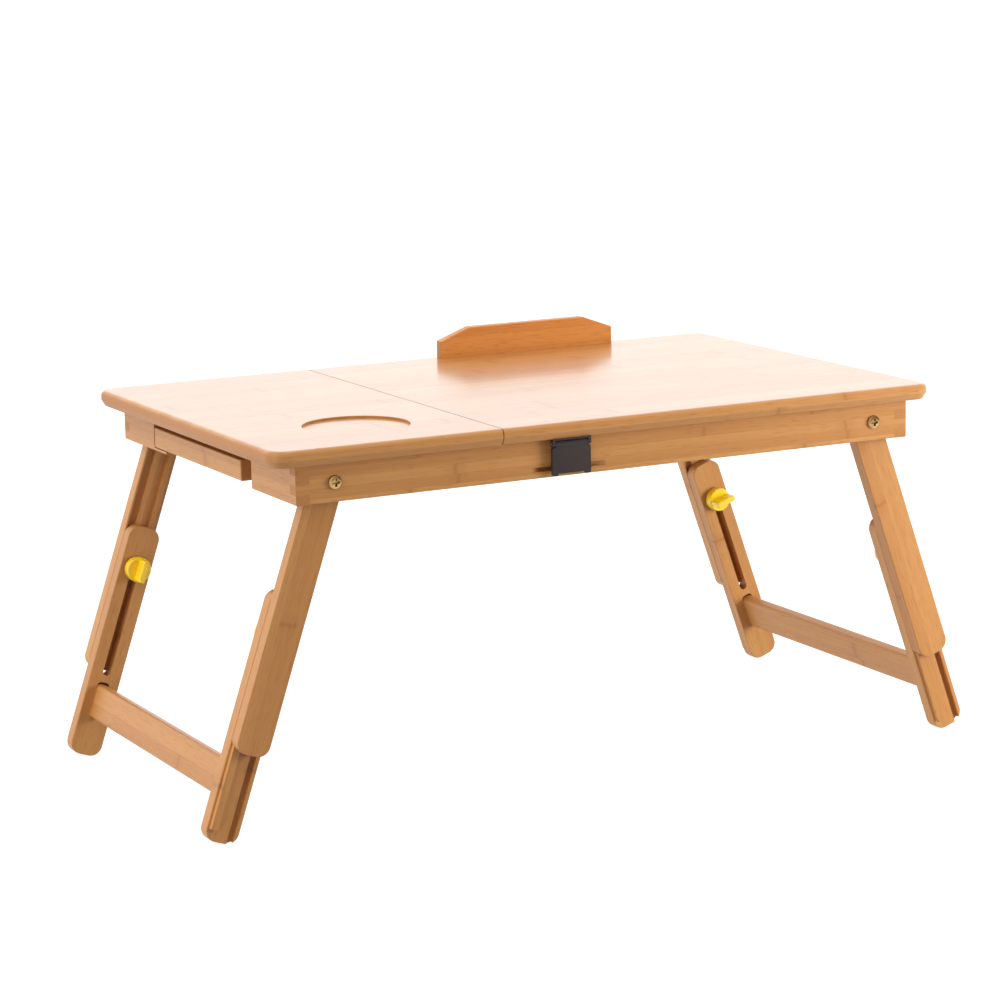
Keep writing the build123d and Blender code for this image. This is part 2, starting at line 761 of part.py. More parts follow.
with BuildPart() as latch_plate:
    knuckle = latch_width - 2 * (latch_cheek_width + latch_cheek_gap)
    plate_bottom = frame_top - latch_plate_drop
    plate_top = cheek_low - latch_cheek_gap
    tooth_z = frame_top - kerf_drop
    board(
        (latch_x - latch_width / 2, latch_pin_y - plate_half, plate_bottom),
        (latch_x + latch_width / 2, latch_pin_y + plate_half, plate_top),
    )
    fillet(edges().filter_by(Axis.Y), latch_corner_radius)
    board(
        (latch_x - knuckle / 2, latch_pin_y - plate_half, tooth_z),
        (latch_x + knuckle / 2, latch_pin_y + plate_half, latch_pin_z),
    )
    with BuildSketch(Plane.XY.offset(plate_bottom)):
        with Locations((latch_x, latch_pin_y)):
            Rectangle(latch_width - 2 * latch_foot_width, latch_plate_thickness)
    extrude(amount=latch_notch_depth, mode=Mode.SUBTRACT)
    board(
        (latch_x - latch_tooth_width / 2, latch_pin_y, tooth_z - latch_tooth_height / 2),
        (
            latch_x + latch_tooth_width / 2,
            -apron_y - latch_tooth_clearance,
            tooth_z + latch_tooth_height / 2,
        ),
    )
    with BuildSketch(Plane.YZ.offset(latch_x - knuckle / 2)):
        with Locations((latch_pin_y, latch_pin_z)):
            Circle(latch_knuckle_radius)
    extrude(amount=knuckle)
    with BuildSketch(Plane.YZ.offset(latch_x - knuckle / 2)):
        with Locations((latch_pin_y, latch_pin_z)):
            Circle(latch_pin_radius + running_clearance)
    extrude(amount=knuckle, mode=Mode.SUBTRACT)
save(latch_plate.part, "latch_plate")

# Leg bolts, washers and nuts, four of each
bolt_length = apron_thickness + leg_side_gap + upper_leg_thickness - bolt_nut_clearance
with BuildPart() as leg_bolts:
    for side_x in (left, right):
        for side_y in (latch_side, user_side):
            outer = Plane.XZ.offset(-side_y * apron_y)
            with BuildSketch(outer):
                with Locations((side_x * pivot_x, pivot_z)):
                    Circle(bolt_radius)
            extrude(amount=side_y * bolt_length)
            with BuildSketch(outer):
                with Locations((side_x * pivot_x, pivot_z)):
                    Circle(bolt_head_radius)
            extrude(amount=-side_y * bolt_head_height)
            with BuildSketch(Plane.XZ.offset(-side_y * (apron_y + bolt_head_height))):
                with Locations((side_x * pivot_x, pivot_z)):
                    RegularPolygon(bolt_socket_radius, 4)
            extrude(amount=side_y * bolt_socket_depth, mode=Mode.SUBTRACT)
    head_mid_y = apron_y + bolt_head_height / 2
    rims = edges().filter_by(GeomType.CIRCLE).filter_by(lambda e: abs(e.center().Y) > head_mid_y)
    fillet(rims, bolt_head_round)
save(leg_bolts.part, "leg_bolts")

with BuildPart() as leg_washers:
    for side_x in (left, right):
        for side_y in (latch_side, user_side):
            with BuildSketch(Plane.XZ.offset(-side_y * apron_inner_y)):
                with Locations((side_x * pivot_x, pivot_z)):
                    Circle(leg_washer_radius)
                    Circle(bolt_radius, mode=Mode.SUBTRACT)
            extrude(amount=side_y * leg_washer_thickness)
save(leg_washers.part, "leg_washers")

nut_face_y = leg_outer_y - upper_leg_thickness + bolt_nut_clearance
with BuildPart() as leg_nuts:
    for side_x in (left, right):
        for side_y in (latch_side, user_side):
            with BuildSketch(Plane.XZ.offset(-side_y * nut_face_y)):
                with Locations((side_x * pivot_x, pivot_z)):
                    RegularPolygon(bolt_nut_radius, 6)
                    Circle(bolt_radius, mode=Mode.SUBTRACT)
            extrude(amount=-side_y * bolt_nut_height)
save(leg_nuts.part, "leg_nuts")


def upper_leg(side_x, side_y):
    """An upper leg: round about its bolt, grooved and ribbed along its inner face."""
    inner = leg_plane(side_x, side_y, upper_leg_thickness)
    with BuildPart() as leg:
        with BuildSketch(leg_plane(side_x, side_y, 0)) as outline:
            with Locations((0, -upper_leg_reach / 2)):
                Rectangle(leg_width, upper_leg_reach)
            fillet(outline.vertices().group_by(Axis.Y)[0], leg_end_radius)
            Circle(half_leg)
        extrude(amount=side_y * upper_leg_thickness)
        fillet(leg.faces().filter_by(Axis.Y).edges(), leg_arris)
        with BuildSketch(inner):
            with Locations((tongue_across, (half_leg - upper_leg_reach) / 2)):
                Rectangle(tongue_width + 2 * slide_clearance, upper_leg_reach + half_leg)
        extrude(amount=-side_y * groove_depth, mode=Mode.SUBTRACT)
        rib_length = upper_leg_reach - half_leg - leg_end_radius
        with BuildSketch(inner):
            with Locations((rib_across, -half_leg - rib_length / 2)):
                Rectangle(rib_width, rib_length)
        extrude(amount=side_y * groove_depth)
        with BuildSketch(inner):
            Circle(bolt_nut_radius + bolt_nut_clearance)
        extrude(amount=-side_y * (bolt_nut_height + 2 * bolt_nut_clearance), mode=Mode.SUBTRACT)
        with BuildSketch(inner):
            Circle(bolt_radius + running_clearance)
        extrude(amount=-side_y * upper_leg_thickness, mode=Mode.SUBTRACT)
        with BuildSketch(inner):
            with Locations((0, -stud_reach)):
                Circle(stud_radius)
        extrude(amount=-side_y * stud_embed, mode=Mode.SUBTRACT)
    return leg.part


def lower_leg(side_x, side_y):
    """A lower leg: rounded ends, a clamp slot, a tongue and a groove, and the cross bar's mortise."""
    outer = leg_plane(side_x, side_y, lower_leg_depth)
    middle = -lower_leg_start - lower_leg_length / 2
    mortise_top = mortise_relief - lower_leg_start - cross_bar_start
    mortise_height = cross_bar_height + mortise_relief
    with BuildPart() as leg:
        with BuildSketch(outer):
            with Locations((0, middle)):
                RectangleRounded(leg_width, lower_leg_length, leg_end_radius)
        extrude(amount=side_y * lower_leg_thickness)
        fillet(leg.faces().filter_by(Axis.Y).edges(), leg_arris)
        with BuildSketch(outer):
            with Locations((tongue_across, middle)):
                Rectangle(tongue_width, lower_leg_length - 2 * leg_end_radius)
        extrude(amount=-side_y * groove_depth)
        with BuildSketch(outer):
            with Locations((rib_across, middle)):
                Rectangle(rib_width + 2 * slide_clearance, lower_leg_length)
        extrude(amount=side_y * groove_depth, mode=Mode.SUBTRACT)
        with BuildSketch(outer):
            with Locations((0, -lower_leg_start - slot_start - slot_length / 2)):
                SlotOverall(slot_length, 2 * (stud_radius + slide_clearance), rotation=90)
        extrude(amount=side_y * lower_leg_thickness, mode=Mode.SUBTRACT)
        with BuildSketch(leg_plane(side_x, side_y, leg_inner_depth)):
            with Locations((0, mortise_top - mortise_height / 2)):
                RectangleRounded(cross_bar_thickness, mortise_height, cross_bar_round)
        extrude(amount=-side_y * cross_bar_tenon, mode=Mode.SUBTRACT)
    return leg.part


def knob(side_x, side_y, turn):
    """A clamp knob: a round hub and a thumb wing across its face, turned about the stud."""
    with BuildPart() as body:
        with BuildSketch(leg_plane(side_x, side_y, knob_depth)):
            with Locations((0, -stud_reach)):
                Circle(knob_radius)
        extrude(amount=side_y * knob_hub_height)
        hub_face = body.faces().filter_by(Axis.Y).sort_by(Axis.Y)[-1 if side_y == latch_side else 0]
        fillet(hub_face.edges(), knob_hub_round)
        with BuildSketch(leg_plane(side_x, side_y, knob_depth + knob_hub_height)):
            with Locations(Location((0, -stud_reach, 0), (0, 0, turn))):
                RectangleRounded(
                    knob_wing_thickness,
                    2 * (knob_radius - knob_hub_round),
                    knob_wing_corner,
                )
        extrude(amount=side_y * knob_wing_height)
        tip = body.faces().filter_by(Axis.Y).sort_by(Axis.Y)[-1 if side_y == latch_side else 0]
        fillet(tip.edges(), knob_wing_round)
        with BuildSketch(leg_plane(side_x, side_y, knob_depth)):
            with Locations((0, -stud_reach)):
                Circle(stud_radius + running_clearance)
        extrude(amount=side_y * (stud_in_knob + knob_gap), mode=Mode.SUBTRACT)
    return body.part


stud_length = stud_embed + knob_depth - upper_leg_thickness + stud_in_knob
side_names = {left: "left", right: "right"}
long_side_names = {latch_side: "latch_side", user_side: "user_side"}
knob_turns = {(left, latch_side): 0, (left, user_side): 0, (right, latch_side): 0, (right, user_side): 90}
for side_x, side_name in side_names.items():
    for side_y, long_name in long_side_names.items():
        save(upper_leg(side_x, side_y), f"{side_name}_upper_leg_{long_name}")
        save(lower_leg(side_x, side_y), f"{side_name}_lower_leg_{long_name}")
        save(knob(side_x, side_y, knob_turns[side_x, side_y]), f"{side_name}_knob_{long_name}")

    with BuildPart() as cross_bar:
        bar_reach = leg_inner_y + cross_bar_tenon
        with BuildSketch(leg_plane(side_x, user_side, leg_outer_y - bar_reach)):
            with Locations((0, -lower_leg_start - cross_bar_start - cross_bar_height / 2)):
                RectangleRounded(cross_bar_thickness, cross_bar_height, cross_bar_round)
        extrude(amount=2 * bar_reach)
    save(cross_bar.part, f"{side_name}_cross_bar")

    with BuildPart() as studs:
        for side_y in (latch_side, user_side):
            with BuildSketch(leg_plane(side_x, side_y, upper_leg_thickness - stud_embed)):
                with Locations((0, -stud_reach)):
                    Circle(stud_radius)
            extrude(amount=side_y * stud_length)
    save(studs.part, f"{side_name}_clamp_studs")

    with BuildPart() as washers:
        for side_y in (latch_side, user_side):
            with BuildSketch(leg_plane(side_x, side_y, washer_depth)):
                with Locations((0, -stud_reach)):
                    Circle(clamp_washer_radius)
                    Circle(stud_radius, mode=Mode.SUBTRACT)
            extrude(amount=side_y * clamp_washer_thickness)
    save(washers.part, f"{side_name}_clamp_washers")
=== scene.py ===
import math

import bmesh
import bpy
from mathutils import Matrix, Vector


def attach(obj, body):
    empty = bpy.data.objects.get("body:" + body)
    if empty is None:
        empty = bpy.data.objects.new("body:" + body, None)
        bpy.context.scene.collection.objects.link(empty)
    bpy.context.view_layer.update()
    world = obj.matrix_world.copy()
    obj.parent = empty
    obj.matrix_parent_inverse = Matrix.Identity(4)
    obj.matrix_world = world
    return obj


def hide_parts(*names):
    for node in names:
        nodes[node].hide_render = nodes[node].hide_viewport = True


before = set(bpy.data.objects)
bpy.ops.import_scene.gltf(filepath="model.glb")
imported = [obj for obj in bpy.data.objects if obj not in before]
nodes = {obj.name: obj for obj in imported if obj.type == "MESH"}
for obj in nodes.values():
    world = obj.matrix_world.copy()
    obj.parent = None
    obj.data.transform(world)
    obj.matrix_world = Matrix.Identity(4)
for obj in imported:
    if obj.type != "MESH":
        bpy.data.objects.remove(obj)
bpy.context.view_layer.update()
scene = bpy.context.scene
MM = 0.001

# Directions of the fibres, as turns that lay them along the pattern's own X
LEG_LEAN = math.radians(19)
ALONG_X = (0, 0, 0)
ALONG_Y = (0, 0, -math.pi / 2)
DOWN_LEFT_LEGS = (0, -math.pi / 2 - LEG_LEAN, 0)
DOWN_RIGHT_LEGS = (0, LEG_LEAN - math.pi / 2, 0)

# Colours, linear
HONEY = (0.63, 0.300, 0.090, 1)
CARAMEL = (0.43, 0.166, 0.041, 1)
AMBER = (0.76, 0.305, 0.072, 1)
DEEP_AMBER = (0.55, 0.175, 0.034, 1)
NODE_BROWN = (0.30, 0.100, 0.028, 1)
FIBRE_BROWN = (0.28, 0.095, 0.025, 1)
END_GRAIN = (0.47, 0.195, 0.056, 1)
END_DOTS = (0.33, 0.122, 0.034, 1)
GLUE_LINE = (0.25, 0.090, 0.026, 1)
KNOB_GOLD, KNOB_LEMON, KNOB_SCUFF = (0.98, 0.60, 0.008, 1), (1.0, 0.69, 0.014, 1), (0.98, 0.72, 0.16, 1)
SLATE, PALE_SLATE, SLATE_RUB = (0.030, 0.021, 0.018, 1), (0.043, 0.031, 0.027, 1), (0.085, 0.068, 0.062, 1)
ZINC, DULL_ZINC = (0.56, 0.56, 0.57, 1), (0.34, 0.34, 0.36, 1)
BRASS, DULL_BRASS = (0.58, 0.38, 0.16, 1), (0.30, 0.18, 0.07, 1)
FLOOR_GREY, FLOOR_PALE = (0.40, 0.40, 0.40, 1), (0.42, 0.42, 0.42, 1)
WHITE = (1, 1, 1, 1)


class Wire:
    """One output of a material's nodes. Sums and products of wires add the Math nodes they need."""

    def __init__(self, tree, socket=None):
        self.tree = tree
        self.socket = socket

    def make(self, kind, settings=None, sockets=None, output=0):
        """Adds a node: its settings first, then the values or wires of its sockets."""
        node = self.tree.nodes.new("ShaderNode" + kind)
        for name, value in (settings or {}).items():
            setattr(node, name, value)
        for name, value in (sockets or {}).items():
            if isinstance(value, Wire):
                self.tree.links.new(value.socket, node.inputs[name])
            else:
                node.inputs[name].default_value = value
        return Wire(self.tree, node.outputs[output])

    def maths(self, operation, *values):
        return self.make("Math", {"operation": operation}, dict(enumerate((self, *values))))

    def __add__(self, other):
        return self.maths("ADD", other)

    def __sub__(self, other):
        return self.maths("SUBTRACT", other)

    def __mul__(self, other):
        return self.maths("MULTIPLY", other)

    def __truediv__(self, other):
        return self.maths("DIVIDE", other)

    def __rsub__(self, other):
        return self.make("Math", {"operation": "SUBTRACT"}, {0: other, 1: self})

    __radd__ = __add__
    __rmul__ = __mul__

    def ramp(self, low, high, start=0.0, end=1.0):
        """Goes smoothly from start to end while this wire goes from low to high."""
        places = {"Value": self, "From Min": low, "From Max": high, "To Min": start, "To Max": end}
        return self.make("MapRange", {"interpolation_type": "SMOOTHSTEP"}, places)

    def blend(self, first, second):
        """The first colour where this wire is 0, the second where it is 1."""
        settings = {"data_type": "RGBA", "blend_type": "MIX"}
        return self.make("Mix", settings, {0: self, 6: first, 7: second}, 2)

    def stretched(self, scales):
        """This vector with each of its parts times its own scale."""
        return self.make("VectorMath", {"operation": "MULTIPLY"}, {0: self, 1: scales})

    def noise(self, scales, detail=2.0, roughness=0.5, distortion=0.0):
        """Noise over this vector, where one unit times its scale is one lump."""
        sockets = {"Vector": self.stretched(scales), "Scale": 1.0, "Detail": detail}
        sockets.update({"Roughness": roughness, "Distortion": distortion})
        return self.make("TexNoise", {}, sockets)

    def part(self, axis):
        return self.make("SeparateXYZ", {}, {"Vector": self}, axis)


def new_material(name, constants):
    """A material with its shader's unchanging numbers, and a wire to start its pattern from."""
    material = bpy.data.materials.new(name)
    material.use_nodes = True
    tree = material.node_tree
    shader = tree.nodes["Principled BSDF"]
    for socket, value in constants.items():
        shader.inputs[socket].default_value = value
    return material, shader, Wire(tree)


def connect(shader, wires):
    """Joins wires to the shader's sockets that change over the surface."""
    for socket, wire in wires.items():
        wire.tree.links.new(wire.socket, shader.inputs[socket])


# Bamboo
def bamboo(name, turn, shift, strip_width, on_edge, warmth, tones, lacquer):
    """Lacquered bamboo: strips glued side by side, each with its own tint, fibres and nodes.

    turn lays the fibres along X, and shift in millimetres gives each board its own stretch of bamboo.
    The strips lie side by side in Y, or in Z for a board that stands on edge. Lengths in here are in
    millimetres, and the scales of each noise are its lumps per millimetre along, across and through.
    """
    layer_depth, node_every = 30.0, 330.0
    light, dark = tones
    edge_coat, level_coat, gloss = lacquer
    fixed = {"Coat Roughness": 0.15, "Specular IOR Level": 0.36, "IOR": 1.48}
    material, shader, start = new_material(name, fixed)
    place = start.make("TexCoord", output="Object")
    axis_sockets = {"Vector": place, "Scale": (1000, 1000, 1000), "Rotation": turn, "Location": shift}
    board = place.make("Mapping", {"vector_type": "POINT"}, axis_sockets)
    along = board.part(0)
    across = board.part(2 if on_edge else 1)
    through = board.part(1 if on_edge else 2)

    # Which strip of the lamination this is, and its own random numbers
    wander = board.noise((0.004, 0.02, 0.02), 1.0) * 0.8
    row = across / strip_width + wander / strip_width
    layer = (through / layer_depth + 0.37).maths("FLOOR")
    strip = row.maths("FLOOR") + layer * 17.0
    tint = strip.make("TexWhiteNoise", {"noise_dimensions": "1D"}, {"W": strip * 1.37 + 3.1}, "Value")
    lot = strip.make("TexWhiteNoise", {"noise_dimensions": "1D"}, {"W": strip * 2.11 + 9.7}, "Value")
    from_edge = (row.maths("FRACT") - 0.5).maths("ABSOLUTE")
    glue = from_edge.ramp(0.5 - 0.28 / strip_width, 0.5)

    # Fibres: broad soft streaks, fine streaks and short dark pores
    jump = strip.make("CombineXYZ", {}, {"X": lot * 400.0, "Y": strip * 31.0, "Z": strip * 17.0})
    own = board.make("VectorMath", {"operation": "ADD"}, {0: board, 1: jump})
    broad = own.noise((0.006, 0.16, 0.16), 2.0, 0.55)
    streak = own.noise((0.012, 0.75, 0.75), 3.0, 0.6, 0.15)
    fine = own.noise((0.03, 2.6, 2.6), 2.0, 0.6)
    pore = own.noise((0.075, 2.1, 2.1), 1.0, 0.5).ramp(0.58, 0.74)

    # Nodes: a dark wavy line across a strip with a soft paler stretch around it
    wave = own.noise((0.02, 0.25, 0.25), 2.0) * 5.0
    run = (along + wave + lot * node_every * 3.7) / node_every
    from_node = (run.maths("FRACT") - 0.5).maths("ABSOLUTE") * node_every
    node_line = from_node.ramp(0.4, 2.6, 1.0, 0.0)
    node_glow = from_node.ramp(1.5, 12.0, 1.0, 0.0)

    depth = tint * 0.42 + broad * 0.5 + streak * 0.42 + fine * 0.16 - (0.34 - warmth)
    wood = depth.maths("MINIMUM", 1.0).maths("MAXIMUM", 0.0).blend(light, dark)
    wood = (pore * 0.5).blend(wood, FIBRE_BROWN)
    wood = (node_glow * 0.3).blend(wood, dark)
    wood = (node_line * 0.36).blend(wood, NODE_BROWN)
    wood = (glue * 0.24).blend(wood, GLUE_LINE)

    # Cut ends show the fibres as dots
    facing = place.make("TexCoord", output="Normal")
    turned = facing.make("Mapping", {"vector_type": "POINT"}, {"Vector": facing, "Rotation": turn})
    cut_end = turned.part(0).maths("ABSOLUTE").ramp(0.72, 0.94)
    dots = board.noise((0.6, 1.5, 1.5), 1.0, 0.5).ramp(0.48, 0.62)
    end_wood = (dots * 0.6).blend(END_GRAIN, END_DOTS)
    wood = (cut_end * 0.85).blend(wood, end_wood)

    # Lacquer lies thickest on level faces
    coat = facing.part(2).ramp(0.75, 0.97, edge_coat, level_coat)
    smear = board.noise((0.01, 0.03, 0.03), 2.0)
    rough = gloss - 0.05 + smear * 0.08 + fine * 0.07 + pore * 0.06 + cut_end * 0.14
    height = streak * 0.35 + fine * 0.3 - pore * 0.5 - glue * 0.6 - node_line * 0.5
    grain = height.make("Bump", {}, {"Strength": 0.22, "Distance": 0.00025, "Height": height})
    connect(shader, {"Base Color": wood, "Roughness": rough, "Coat Weight": coat, "Normal": grain})
    return material


def yellow_plastic():
    """Moulded glossy knob plastic with a faint skin."""
    fixed = {"Coat Weight": 0.25, "Coat Roughness": 0.12, "IOR": 1.49, "Subsurface Weight": 0.06}
    fixed["Subsurface Radius"] = (0.004, 0.002, 0.0005)
    material, shader, start = new_material("knob_yellow_moulded", fixed)
    place = start.make("TexCoord", output="Object")
    cloud = place.noise((90, 90, 90), 2.0)
    skin = place.noise((1600, 1600, 1600), 2.0)
    scuff = place.noise((260, 900, 260), 3.0, 0.6).ramp(0.6, 0.8)
    colour = cloud.ramp(0.3, 0.7).blend(KNOB_GOLD, KNOB_LEMON)
    colour = (scuff * 0.18).blend(colour, KNOB_SCUFF)
    rough = cloud * 0.1 + skin * 0.06 + scuff * 0.12 + 0.2
    bump = skin.make("Bump", {}, {"Strength": 0.1, "Distance": 0.0001, "Height": skin + scuff * 0.4})
    connect(shader, {"Base Color": colour, "Roughness": rough, "Normal": bump})
    return material


def slate_plastic():
    """Dark moulded latch plastic with a fine spark-eroded texture."""
    material, shader, start = new_material("latch_slate_moulded", {"Specular IOR Level": 0.3})
    place = start.make("TexCoord", output="Object")
    grit = place.noise((2200, 2200, 2200), 2.0, 0.6)
    cloud = place.noise((60, 60, 60), 3.0)
    rub = place.noise((120, 120, 700), 3.0, 0.6).ramp(0.58, 0.8)
    colour = cloud.ramp(0.3, 0.7).blend(SLATE, PALE_SLATE)
    colour = (rub * 0.3).blend(colour, SLATE_RUB)
    rough = grit * 0.12 + cloud * 0.1 + 0.44 - rub * 0.06
    bump = grit.make("Bump", {}, {"Strength": 0.3, "Distance": 0.00012, "Height": grit})
    connect(shader, {"Base Color": colour, "Roughness": rough, "Normal": bump})
    return material


def metal(name, light, dark, stretch, roughness):
    """Plated metal with drawn lines and a little tarnish."""
    material, shader, start = new_material(name, {"Metallic": 1.0})
    place = start.make("TexCoord", output="Object")
    drawn = place.noise(stretch, 3.0, 0.65)
    tarnish = place.noise((150, 150, 150), 3.0, 0.6).ramp(0.35, 0.75)
    colour = (tarnish * 0.7 + drawn * 0.3).blend(light, dark)
    rough = drawn * 0.16 + tarnish * 0.14 + roughness
    bump = drawn.make("Bump", {}, {"Strength": 0.12, "Distance": 0.00006, "Height": drawn})
    connect(shader, {"Base Color": colour, "Roughness": rough, "Normal": bump})
    return material


def paint(material, name):
    """Gives every slot of a node its finish."""
    for slot in nodes[name].material_slots:
        slot.material = material


# Boards, each from its own stretch of bamboo: turn, strip width, strips on edge or not, warmth
TOP_STRIP, NARROW_STRIP, LEG_STRIP = 21.0, 7.2, 13.4
# Lacquer: coat on edges and sides, coat on level faces, roughness
TOP_LACQUER, FRAME_LACQUER = (0.05, 0.80, 0.34), (0.08, 0.12, 0.42)
boards = {
    "fixed_top": (ALONG_X, TOP_STRIP, False, 0.0),
    "tilt_panel": (ALONG_X, TOP_STRIP, False, 0.0),
    "latch_apron": (ALONG_X, NARROW_STRIP, True, 0.04),
    "user_apron": (ALONG_X, NARROW_STRIP, True, 0.04),
    "left_latch_block": (ALONG_Y, NARROW_STRIP, True, 0.0),
    "left_user_block": (ALONG_Y, NARROW_STRIP, True, 0.03),
    "right_end_rail": (ALONG_Y, NARROW_STRIP, True, 0.03),
    "seam_divider": (ALONG_Y, NARROW_STRIP, True, 0.08),
    "left_notched_slat": (ALONG_Y, NARROW_STRIP, True, 0.08),
    "right_notched_slat": (ALONG_Y, NARROW_STRIP, True, 0.04),
    "latch_side_runner": (ALONG_X, NARROW_STRIP, True, 0.16),
    "user_side_runner": (ALONG_X, NARROW_STRIP, True, 0.16),
    "stop_bar": (ALONG_X, LEG_STRIP, True, 0.05),
    "drawer_front": (ALONG_Y, LEG_STRIP, True, 0.02),
    "drawer_latch_side": (ALONG_X, NARROW_STRIP, True, 0.0),
    "drawer_user_side": (ALONG_X, NARROW_STRIP, True, 0.03),
    "drawer_back": (ALONG_Y, NARROW_STRIP, True, 0.0),
    "drawer_bottom": (ALONG_X, TOP_STRIP, False, 0.0),
    "prop_left_arm": (ALONG_Y, NARROW_STRIP, False, 0.05),
    "prop_right_arm": (ALONG_Y, NARROW_STRIP, False, 0.02),
    "prop_foot_bar": (ALONG_X, NARROW_STRIP, False, 0.05),
    "prop_brackets": (ALONG_Y, NARROW_STRIP, False, 0.05),
}
for side, turn in (("left", DOWN_LEFT_LEGS), ("right", DOWN_RIGHT_LEGS)):
    for end in ("latch_side", "user_side"):
        boards[f"{side}_upper_leg_{end}"] = (turn, LEG_STRIP, True, 0.06)
        boards[f"{side}_lower_leg_{end}"] = (turn, LEG_STRIP, True, 0.08)
    boards[f"{side}_cross_bar"] = (ALONG_Y, LEG_STRIP, True, 0.04)

for count, (name, (turn, strip_width, on_edge, warmth)) in enumerate(boards.items()):
    shift = (137.0 + 391.0 * count, 53.0 * count, 71.0 * count)
    tones = (AMBER, DEEP_AMBER) if name == "stop_bar" else (HONEY, CARAMEL)
    lacquer = TOP_LACQUER if name in ("fixed_top", "tilt_panel") else FRAME_LACQUER
    paint(bamboo("bamboo_" + name, turn, shift, strip_width, on_edge, warmth, tones, lacquer), name)

knob_plastic = yellow_plastic()
latch_plastic = slate_plastic()
zinc = metal("zinc_plated_steel", ZINC, DULL_ZINC, (700, 700, 90), 0.28)
brass = metal("brass_plated_steel", BRASS, DULL_BRASS, (600, 600, 600), 0.26)
for name in nodes:
    if "_knob_" in name:
        paint(knob_plastic, name)
    elif name in ("latch_plate", "latch_base"):
        paint(latch_plastic, name)
    elif name not in boards:
        paint(zinc, name)


# Cross-head bolts and screws: radii, depths and recesses
SHARP_ANGLE = math.radians(34)
WELD = 1e-6
LEVEL = 1e-9
RIM_SEGMENTS = 28
RECESS_TAPER = 0.72
SCREW_HEAD, SCREW_HEAD_EDGE, SCREW_HEAD_DEPTH = 2.8 * MM, 0.12 * MM, 1.6 * MM
SCREW_SHANK, SCREW_POINT, SCREW_TIP = 1.4 * MM, 2.5 * MM, 0.15 * MM
SCREW_FLAT, SCREW_CROSS, SCREW_RECESS = 2.55 * MM, 1.45 * MM, 0.9 * MM
BOLT_HEAD, BOLT_HEAD_DEPTH, BOLT_SHANK = 5.2 * MM, 2.6 * MM, 3.0 * MM
BOLT_FLAT, BOLT_CROSS, BOLT_RECESS = 0.66 * BOLT_HEAD, 0.56 * BOLT_HEAD, 2.1 * MM


def solids_of(node):
    """The boxes of a node's separate solids, as pairs of corners."""
    bm = bmesh.new()
    bm.from_mesh(nodes[node].data)
    bmesh.ops.remove_doubles(bm, verts=bm.verts, dist=WELD)
    left, boxes = set(bm.verts), []
    while left:
        waiting = [left.pop()]
        found = list(waiting)
        while waiting:
            vertex = waiting.pop()
            for edge in vertex.link_edges:
                other = edge.other_vert(vertex)
                if other in left:
                    left.remove(other)
                    waiting.append(other)
                    found.append(other)
        low = Vector([min(v.co[axis] for v in found) for axis in range(3)])
        high = Vector([max(v.co[axis] for v in found) for axis in range(3)])
        boxes.append((low, high))
    bm.free()
    return sorted(boxes, key=lambda box: tuple(box[0]))


def cross_head(bm, profile, flat_radius, arm, recess, place):
    """Adds a fastener: a cross recess in a flat, then rings of radius and depth down to its point."""
    known = set(bm.verts)
    cross = bmesh.ops.create_grid(bm, x_segments=3, y_segments=3, size=arm)["verts"]
    faces = {face for vertex in cross for face in vertex.link_faces}
    middles = {face: face.calc_center_median() for face in faces}
    corners = [face for face, middle in middles.items() if min(abs(middle.x), abs(middle.y)) > arm / 2]
    bmesh.ops.delete(bm, geom=corners, context="FACES")
    mouth = [f for f in bm.faces if f in faces and f.is_valid]
    sunk = bmesh.ops.extrude_face_region(bm, geom=mouth)["geom"]
    floor = [item for item in sunk if isinstance(item, bmesh.types.BMVert)]
    bmesh.ops.scale(bm, verts=floor, vec=(RECESS_TAPER, RECESS_TAPER, 1))
    bmesh.ops.translate(bm, verts=floor, vec=(0, 0, recess))
    bmesh.ops.delete(bm, geom=[f for f in mouth if f.is_valid], context="FACES_ONLY")
    fresh = [v for v in bm.verts if v not in known]
    lip = {e for v in fresh for e in v.link_edges if abs(sum(w.co.z for w in e.verts)) < LEVEL}
    rim = bmesh.ops.create_circle(bm, cap_ends=False, segments=RIM_SEGMENTS, radius=flat_radius)["verts"]
    ring = list({e for v in rim for e in v.link_edges})
    loose = [e for e in lip if len(e.link_faces) == 1]
    bmesh.ops.triangle_fill(bm, use_beauty=True, use_dissolve=False, edges=loose + ring)
    radius, depth = flat_radius, 0.0
    for new_radius, new_depth in profile:
        grown = bmesh.ops.extrude_edge_only(bm, edges=ring)["geom"]
        verts = [item for item in grown if isinstance(item, bmesh.types.BMVert)]
        share = new_radius / radius
        bmesh.ops.scale(bm, verts=verts, vec=(share, share, 1))
        bmesh.ops.translate(bm, verts=verts, vec=(0, 0, new_depth - depth))
        ring = [item for item in grown if isinstance(item, bmesh.types.BMEdge)]
        radius, depth = new_radius, new_depth
    fresh = [v for v in bm.verts if v not in known]
    bmesh.ops.contextual_create(bm, geom=ring)
    bmesh.ops.transform(bm, matrix=place, verts=fresh)


def new_piece(bm, name, material, body):
    """Closes a bmesh into a piece that rides on a body, smooth but for its sharp edges."""
    bmesh.ops.recalc_face_normals(bm, faces=bm.faces)
    for face in bm.faces:
        face.smooth = True
    for edge in bm.edges:
        edge.smooth = edge.calc_face_angle(0.0) < SHARP_ANGLE
    mesh = bpy.data.meshes.new(name)
    bm.to_mesh(mesh)
    bm.free()
    mesh.materials.append(material)
    piece = bpy.data.objects.new(name, mesh)
    scene.collection.objects.link(piece)
    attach(piece, body)
    return piece


def screw_profile(length):
    """Countersunk head, shank and point, as rings of radius and depth."""
    return [
        (SCREW_HEAD, SCREW_HEAD_EDGE),
        (SCREW_SHANK, SCREW_HEAD_DEPTH),
        (SCREW_SHANK, length - SCREW_POINT),
        (SCREW_TIP, length),
    ]


